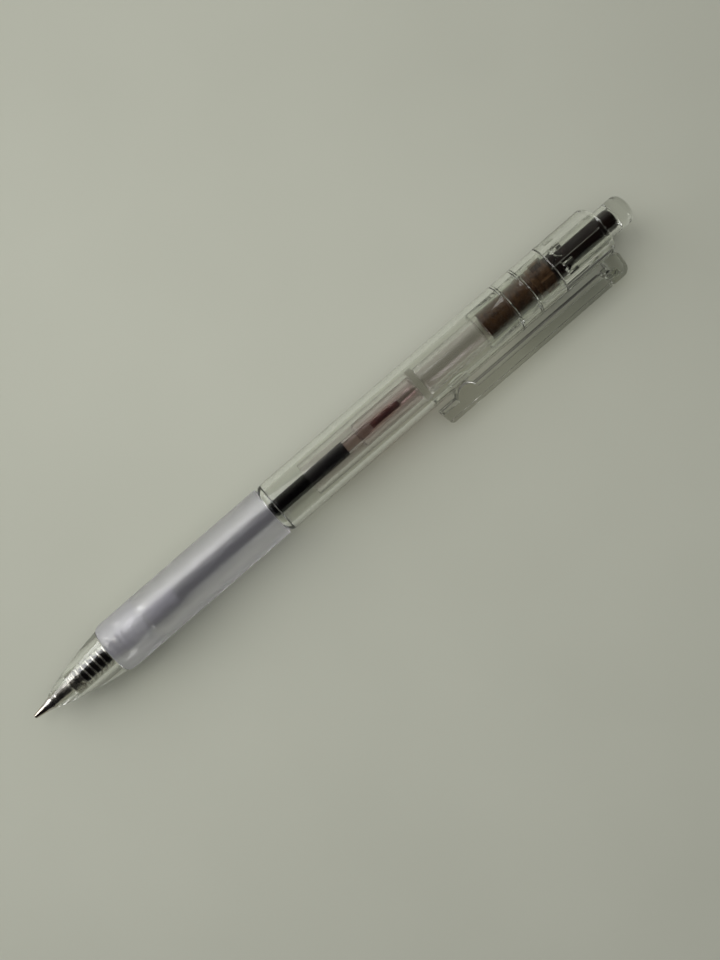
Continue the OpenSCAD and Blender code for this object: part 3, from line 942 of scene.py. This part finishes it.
def makeGrip():
    front, back, radius = frontOf("grip_sleeve"), backOf("grip_sleeve"), radiusOf("grip_sleeve")
    bore, start = radius - grip["wall"], nose["backRadius"]
    corners = []
    for a in range(0, 91, 6):
        lean = math.radians(a)
        corners.append(
            (start + (radius - start) * math.sin(lean), front + grip["roundLen"] * (1 - math.cos(lean)))
        )
    lock = front + barrel["lockLen"] - 2 * fitGap
    corners += [(radius, back, grip["edge"]), (bore, back, 0.08), (bore, lock)]
    corners += [(bore - barrel["lockDepth"], lock), (bore - barrel["lockDepth"], front, 0.08)]
    placeTurned("grip_sleeve", rounded(corners), gripRubberLook(), "root", "grip_rubber", steps=192)


makeGrip()

refill = {
    "wall": 0.47,
    "wet": 0.02,
    "inkDish": 0.2,
    "gelGap": 0.03,
    "tailRound": 0.5,
    "tailFloor": 0.5,
    "tailVent": 0.4,
    "tubeSpace": 0.03,
}


def makeRefill():
    front, back, tube = frontOf("ink_tube"), backOf("ink_tube"), radiusOf("ink_tube")
    bore = tube - refill["wall"]
    wall = rounded([(bore, front), (tube, front, 0.05), (tube, back, 0.08), (bore, back, 0.08)])
    placeTurned("ink_tube", wall, tubePlastic, "refill", "tube_plastic")
    # The ink wets the tube, so it reaches just into its wall and looks as wide as the tube
    wet, gap = bore + refill["wet"], refill["gelGap"]
    front, inkBack = frontOf("ink_column"), backOf("ink_column")
    ink = rounded([(0, front), (wet, front, 0.1), (wet, inkBack), (wet * 0.9, inkBack - 0.12, 0.1)])
    ink += [Vector((0, inkBack - refill["inkDish"]))]
    placeTurned("ink_column", ink, inkBlack, "refill", "ink", closed=False)
    floatFront, floatBack = frontOf("follower_float"), backOf("follower_float")
    radius = radiusOf("follower_float")
    front, back, skin = inkBack + gap, backOf("ink_follower"), bore - gap / 2
    gel = [(0, front - refill["inkDish"]), (wet * 0.9, front - 0.12, 0.1), (skin, front), (skin, back + 0.15)]
    gel += [(radius + 0.35, back - 0.1, 0.2), (radius + gap, back)]
    gel += [(radius + gap, floatFront - gap), (0, floatFront - gap)]
    placeTurned("ink_follower", rounded(gel, closed=False), followerGel, "refill", "follower_gel", closed=False)
    rod = [(0, floatFront), (radius, floatFront, 0.2), (radius, floatBack, radius * 0.9), (0, floatBack)]
    rod = rounded(rod, closed=False, steps=10)
    placeTurned("follower_float", rod, floatBrown, "refill", "float_plastic", closed=False, steps=96)
    front, back, radius = frontOf("tail_plug"), backOf("tail_plug"), radiusOf("tail_plug")
    hole, vent, floor = tube + refill["tubeSpace"], refill["tailVent"], back - refill["tailFloor"]
    plug = [(hole, front), (radius, front, refill["tailRound"]), (radius, back, 0.12)]
    plug += [(vent, back), (vent, floor), (hole, floor)]
    placeTurned("tail_plug", rounded(plug), tubePlastic, "refill", "tube_plastic")


makeRefill()

carrier = {
    "cupBore": 2.58,
    "web": 1.4,
    "tube": 2.95,
    "bore": 2.06,
    "ring": 3.25,
    "ringGap": 1.25,
    "ringLen": 1.1,
}


def makeCarrier():
    front, back, radius = frontOf("refill_carrier"), backOf("refill_carrier"), radiusOf("refill_carrier")
    webFront = backOf("tail_plug") + fitGap
    webBack = webFront + carrier["web"]
    ringBack = back - carrier["ringGap"]
    ringFront = ringBack - carrier["ringLen"]
    cup, tube, ring, bore = carrier["cupBore"], carrier["tube"], carrier["ring"], carrier["bore"]
    corners = [(0, webFront), (cup, webFront, 0.15), (cup, front, 0.08)]
    corners += [(radius, front, 0.12), (radius, webBack, 0.15), (tube, webBack, 0.1), (tube, ringFront)]
    corners += [(ring, ringFront, 0.06), (ring, ringBack, 0.06), (tube, ringBack), (tube, back, 0.08)]
    corners += [(bore, back, 0.06), (bore, webBack, 0.2), (0, webBack)]
    outline = rounded(corners, closed=False)
    placeTurned("refill_carrier", outline, carrierPlastic, "refill", "carrier_plastic", closed=False, steps=160)


makeCarrier()
print("turned pieces ready")


def wedge(name, x0, x1, halfWidth, z0, z1, slope=0.0):  # a box whose z1 end leans by the slope
    corners = [(x0, z0), (x1, z0), (x1, z1), (x0, z1)]
    piece = block(name, corners, halfWidth)
    if slope:
        for vertex in piece.data.vertices:
            if abs(vertex.co.z - z1) < 1e-6:
                vertex.co.z += slope * vertex.co.y
    return piece


def cutTeeth(piece, station, way):  # V notches leave eight teeth; way is 1 at a back end and -1 at a front end
    half, mouth = mechanism["toothGap"] / 2, station + way * 0.05
    outline = [(-half, mouth), (half, mouth), (0, station - way * mechanism["toothDepth"])]
    for turn in (0, 45, 90, 135):
        combine(piece, turnRound(block("tooth_cut", outline, 4), turn), "DIFFERENCE")


mechanism = {
    "journal": 2.075,
    "collar": 2.95,
    "collarLen": 1.3,
    "splineLen": 2.9,
    "splineHalf": 1.1,
    "spline": 3.25,
    "splineSlope": 0.4,
    "crown": 2.65,
    "crownLen": 2.3,
    "toothDepth": 1.1,
    "toothGap": 1.5,
    "spindle": 2.05,
    "turn": 11,
}


def makeCam():
    front, back = frontOf("cam_rotor"), backOf("cam_rotor")
    journal, collar, spindle = mechanism["journal"], mechanism["collar"], mechanism["spindle"]
    collarFront = backOf("refill_carrier") + fitGap
    splineFront = collarFront + mechanism["collarLen"]
    splineBack = splineFront + mechanism["splineLen"]
    crownBack = splineBack + mechanism["crownLen"]
    core = [(0, front), (journal, front, 0.15), (journal, collarFront), (collar, collarFront, 0.08)]
    core += [(collar, splineFront, 0.08), (mechanism["crown"], splineFront), (mechanism["crown"], crownBack)]
    core += [(0, crownBack)]
    cam = turned("cam_rotor_visual", rounded(core, closed=False), blackPlastic, closed=False)
    cutTeeth(cam, crownBack, 1)
    half, slope = mechanism["splineHalf"], mechanism["splineSlope"]
    spline = wedge("spline", spindle, mechanism["spline"], half, splineFront, splineBack - slope * half, -slope)
    combine(cam, ringOf(spline, blackPlastic), "UNION")
    rod = [(0, splineFront + 1), (spindle, splineFront + 1), (spindle, back, spindle * 0.5), (0, back)]
    rod = rounded(rod, closed=False, steps=10)
    combine(cam, turned("spindle", rod, blackPlastic, closed=False), "UNION")
    turnRound(cam, mechanism["turn"])
    place(tidyMesh(cam), greaseAndSheenPlastic, "rotor", "cam_rotor", "black_plastic")


makeCam()

button = {"radius": 2.95, "bore": 2.11, "floor": 3.0, "round": 1.5, "lugLen": 2.0, "lug": 3.25}


def makeButton():
    front, back = frontOf("push_button"), backOf("push_button")
    bore, radius, boreEnd = button["bore"], button["radius"], back - button["floor"]
    outside = [(bore, front), (radius, front, 0.06), (radius, back, button["round"]), (0, back)]
    inside = [(0, boreEnd), (bore, boreEnd, 0.5), (bore, front)]
    outline = rounded(outside, closed=False, steps=12) + rounded(inside, closed=False)[:-1]
    piece = turned("push_button_visual", outline, shellPlastic, steps=160)
    lug = wedge("lug", bore + 0.3, button["lug"], mechanism["splineHalf"], front, front + button["lugLen"])
    combine(piece, ringOf(lug, shellPlastic), "UNION")
    cutTeeth(piece, front, -1)
    turnRound(piece, mechanism["turn"])
    place(tidyMesh(piece), shellPlastic, "button", "push_button", "clear_plastic")


makeButton()

cap = {
    "skirt": 3.97,
    "skirtBore": 3.31,
    "exit": 3.01,
    "ribHalf": 0.8,
    "ribFront": 123.9,
    "shelf": 135.2,
    "round": 1.6,
    "beadRise": 0.12,
    "knuckleRound": 1.7,
    "knuckleFoot": 0.3,
    "knuckleBack": 136.1,
    "roofFront": 132.0,
    "knuckleFront": 133.05,
    "edge": 0.3,
    "rootStation": 133.73,
    "rootHeight": 8.0,
    "rootRoom": 0.71,
    "neckRoom": 0.65,
    "rootHalf": 1.31,
}


def makeCap():
    front, end = frontOf("end_cap"), backOf("end_cap")
    radius, shoulder, skirt = radiusOf("barrel"), backOf("barrel") + fitGap, cap["skirt"]
    corners = [(0, front), (skirt, front, 0.1)]
    for offset in barrel["beadAt"]:
        bead, proud = front + offset, skirt + cap["beadRise"]
        corners += [(skirt, bead - 0.3), (proud, bead - 0.1, 0.05)]
        corners += [(proud, bead + 0.1, 0.05), (skirt, bead + 0.3)]
    corners += [(skirt, shoulder), (radius, shoulder, 0.1), (radius, end, cap["round"]), (0, end)]
    corners = rounded(corners, closed=False, steps=8)
    piece = turned("end_cap_visual", corners, shellPlastic, closed=False, steps=192)
    outer, inner, foot = clip["outer"], clip["outer"] - clip["thick"] - fitGap, skirt - 0.3
    knuckle = [(foot, cap["knuckleFront"]), (inner, cap["knuckleFront"]), (inner, cap["roofFront"], 0.12)]
    knuckle += [(outer, cap["roofFront"], 0.2), (outer, cap["knuckleBack"], cap["knuckleRound"])]
    knuckle += [(radius + cap["knuckleFoot"], cap["knuckleBack"], 0.3)]
    knuckle += [(radius, end - cap["round"]), (foot, end - cap["round"])]
    combine(piece, block("knuckle", rounded(knuckle, steps=8), clip["half"], cap["edge"], 4), "UNION")
    shelf = cap["shelf"]
    bore = [(0, front - 1), (cap["skirtBore"], front - 1), (cap["skirtBore"], shelf), (0, shelf)]
    bore = turned("bore", bore, shellPlastic, closed=False, steps=192)
    rib = wedge("rib", cap["exit"], radius, cap["ribHalf"], cap["ribFront"], shelf + 1)
    turnRound(rib, 45 + mechanism["turn"])
    combine(bore, ringOf(rib, shellPlastic), "DIFFERENCE")
    exitHole = [(0, shelf - 2), (cap["exit"], shelf - 2), (cap["exit"], end + 1), (0, end + 1)]
    combine(bore, turned("exit", exitHole, shellPlastic, closed=False, steps=192), "UNION")
    combine(piece, bore, "DIFFERENCE")
    height, mouth = cap["rootHeight"], cap["roofFront"] - 0.5
    room = arc((height, cap["rootStation"]), cap["rootRoom"], range(-36, 217, 12))
    room += [(height - cap["neckRoom"], mouth), (height + cap["neckRoom"], mouth)]
    combine(piece, block("pocket", room, cap["rootHalf"]), "DIFFERENCE")
    place(tidyMesh(piece), shellPlastic, "root", "end_cap", "clear_plastic")


clip = {
    "outer": 9.6,
    "thick": 2.5,
    "half": 1.9,
    "bump": 2.3,
    "bumpAt": 6.2,
    "bumpCentre": 7.5,
    "edge": 0.28,
    "endRound": 0.7,
    "endSlant": 0.5,
    "root": 0.65,
    "neck": 0.45,
    "rootHalf": 1.25,
    "backGap": 0.3,
}


def makeClip():
    front, back = frontOf("clip"), cap["roofFront"] - clip["backGap"]
    inner, outer = clip["outer"] - clip["thick"], clip["outer"]
    turn = math.degrees(math.acos((inner - clip["bumpCentre"]) / clip["bump"]))
    angles = [turn + (360 - 2 * turn) * step / 24 for step in range(25)]
    outline = [(inner, back)] + arc((clip["bumpCentre"], front + clip["bumpAt"]), clip["bump"], angles)
    outline += [(inner, front, 0.3), (outer, front + clip["endSlant"], clip["endRound"]), (outer, back, 0.15)]
    piece = block("clip_visual", rounded(outline[::-1], steps=6), clip["half"], clip["edge"], 4)
    height, neck = cap["rootHeight"], clip["neck"]
    root = arc((height, cap["rootStation"]), clip["root"], range(-40, 221, 10))
    root += [(height - neck, back - 0.6), (height + neck, back - 0.6)]
    combine(piece, block("root", root, clip["rootHalf"], 0.1, 2), "UNION")
    place(tidyMesh(piece), shellPlastic, "clip", "clip", "clear_plastic")


makeCap()
makeClip()

checkBall = frame["nodes"]["check_ball"]
checkBall.data.materials.clear()
checkBall.data.materials.append(carbide)
print("mechanism ready")


studio = {
    "floorLight": "C4C6B7",
    "floorDark": "BFC1B2",
    "floorReach": 9,
    "floorPatch": 60,
    "floorGrain": (1.2, 3, 0.1, 0.05),  # size, detail, strength and depth
    "backdrop": "B4B6A8",
    "backdropTop": 0.35,
    "wallLight": "7A7774",
    "wallDark": "181618",
    "wallEdge": (0.15, 0.8),
    "windowPower": 1.87,
    "windowSize": (0.395, 0.42),
    "windowAt": (-0.289, 0.325),
    "windowAim": (-0.029, -0.135),
    "windowFoot": 0.08,
    "skyStrength": 1.02,
    "skyAngle": 110,
    "skyFrom": (0, 0.38, 1),
    "ceilingPower": 1.95,
    "ceilingRadius": 0.12,
    "ceilingCone": 46,
    "ceilingAt": (0.0, 0.15, 0.42),
    "ceilingAim": (0.012, 0.025, 0),
}


def makeFloor():
    reach = studio["floorReach"]
    corners = [(-reach, -reach, 0), (reach, -reach, 0), (reach, reach, 0), (-reach, reach, 0)]
    floor = newMesh("floor", corners, faces=[(0, 1, 2, 3)])
    material, tree = newMaterial("table_top_matt")
    colours = addNode(
        tree,
        "ShaderNodeMix",
        {"data_type": "RGBA", 6: studio["floorLight"], 7: studio["floorDark"]},
        {"Factor": patchy(tree, studio["floorPatch"], 3, 0, 1)},
    )
    top = addNode(
        tree,
        "ShaderNodeBsdfPrincipled",
        {"Roughness": 0.7, "Specular IOR Level": 0.25},
        {"Base Color": colours.outputs[2], "Normal": relief(tree, *studio["floorGrain"])},
    )
    addNode(tree, "ShaderNodeOutputMaterial", links={"Surface": top.outputs[0]})
    floor.data.materials.append(material)


def makeLamp(name, kind, power, at, aim):
    light = bpy.data.lights.new(name, kind)
    light.energy = power
    lamp = bpy.data.objects.new(name, light)
    bpy.context.scene.collection.objects.link(lamp)
    lamp.location = at
    lamp.rotation_euler = (Vector(aim) - Vector(at)).to_track_quat("-Z", "Y").to_euler()
    return lamp


# A window beside the pen's front, a wide soft sky and a spot. No gloss or glass shows the last two.
def makeLights():
    width, height = studio["windowSize"]
    middle = studio["windowFoot"] + height / 2
    at, aim = (*studio["windowAt"], middle), (*studio["windowAim"], middle)
    window = makeLamp("window", "AREA", studio["windowPower"], at, aim)
    window.data.shape = "RECTANGLE"
    window.data.size, window.data.size_y = width, height
    ceiling = makeLamp("ceiling", "SPOT", studio["ceilingPower"], studio["ceilingAt"], studio["ceilingAim"])
    ceiling.data.shadow_soft_size = studio["ceilingRadius"]
    ceiling.data.spot_size = math.radians(studio["ceilingCone"])
    ceiling.data.spot_blend = 1
    sky = makeLamp("sky", "SUN", studio["skyStrength"], studio["skyFrom"], (0, 0, 0))
    sky.data.angle = math.radians(studio["skyAngle"])
    for lamp in (ceiling, sky):
        lamp.visible_glossy = False
        lamp.visible_transmission = False


# In gloss the room is dark, with a paler wall behind the window. The camera, and low rays through clear
# plastic, see a pale backdrop past the table's edge.
def makeRoom():
    world = bpy.data.worlds.new("room")
    bpy.context.scene.world = world
    world.use_nodes = True
    tree = world.node_tree
    tree.nodes.clear()
    ray = addNode(tree, "ShaderNodeLightPath").outputs
    direction = addNode(tree, "ShaderNodeTexCoord").outputs["Generated"]
    way = addNode(tree, "ShaderNodeSeparateXYZ", links={0: direction}).outputs
    start, end = studio["wallEdge"]
    wall = addNode(
        tree,
        "ShaderNodeMapRange",
        {"interpolation_type": "SMOOTHSTEP", "From Min": start, "From Max": end, "To Min": 0, "To Max": 1},
        {0: way["Y"]},
    )
    room = addNode(
        tree,
        "ShaderNodeMix",
        {"data_type": "RGBA", 6: studio["wallDark"], 7: studio["wallLight"]},
        {"Factor": wall.outputs[0]},
    )
    low = addNode(tree, "ShaderNodeMath", {"operation": "LESS_THAN", 1: studio["backdropTop"]}, {0: way["Z"]})
    through = addNode(
        tree, "ShaderNodeMath", {"operation": "MULTIPLY"}, {0: low.outputs[0], 1: ray["Is Transmission Ray"]}
    )
    seen = addNode(
        tree, "ShaderNodeMath", {"operation": "MAXIMUM"}, {0: ray["Is Camera Ray"], 1: through.outputs[0]}
    )
    colours = addNode(
        tree,
        "ShaderNodeMix",
        {"data_type": "RGBA", 7: studio["backdrop"]},
        {"Factor": seen.outputs[0], 6: room.outputs[2]},
    )
    sky = addNode(tree, "ShaderNodeBackground", links={"Color": colours.outputs[2]})
    addNode(tree, "ShaderNodeOutputWorld", links={"Surface": sky.outputs[0]})


camera = {"at": (0.0019, -0.00386), "height": 0.237, "turn": -40.91, "lens": 48.7}


def makeCamera():
    lens = bpy.data.cameras.new("camera")
    lens.lens = camera["lens"]
    lens.clip_start = 0.01
    eye = bpy.data.objects.new("camera", lens)
    bpy.context.scene.collection.objects.link(eye)
    eye.location = (*camera["at"], axisZ + camera["height"])
    eye.rotation_euler = (0, 0, math.radians(camera["turn"]))
    bpy.context.scene.camera = eye


makeFloor()
makeRoom()
makeLights()
makeCamera()

# Many thin clear walls lie behind each other, so light needs many bounces to pass them all
cycles = bpy.context.scene.cycles
cycles.max_bounces = 40
cycles.transmission_bounces = 40
cycles.glossy_bounces = 12
cycles.transparent_max_bounces = 64
cycles.caustics_reflective = False
cycles.caustics_refractive = False
bpy.context.scene.view_settings.view_transform = "Standard"

print("scene ready")
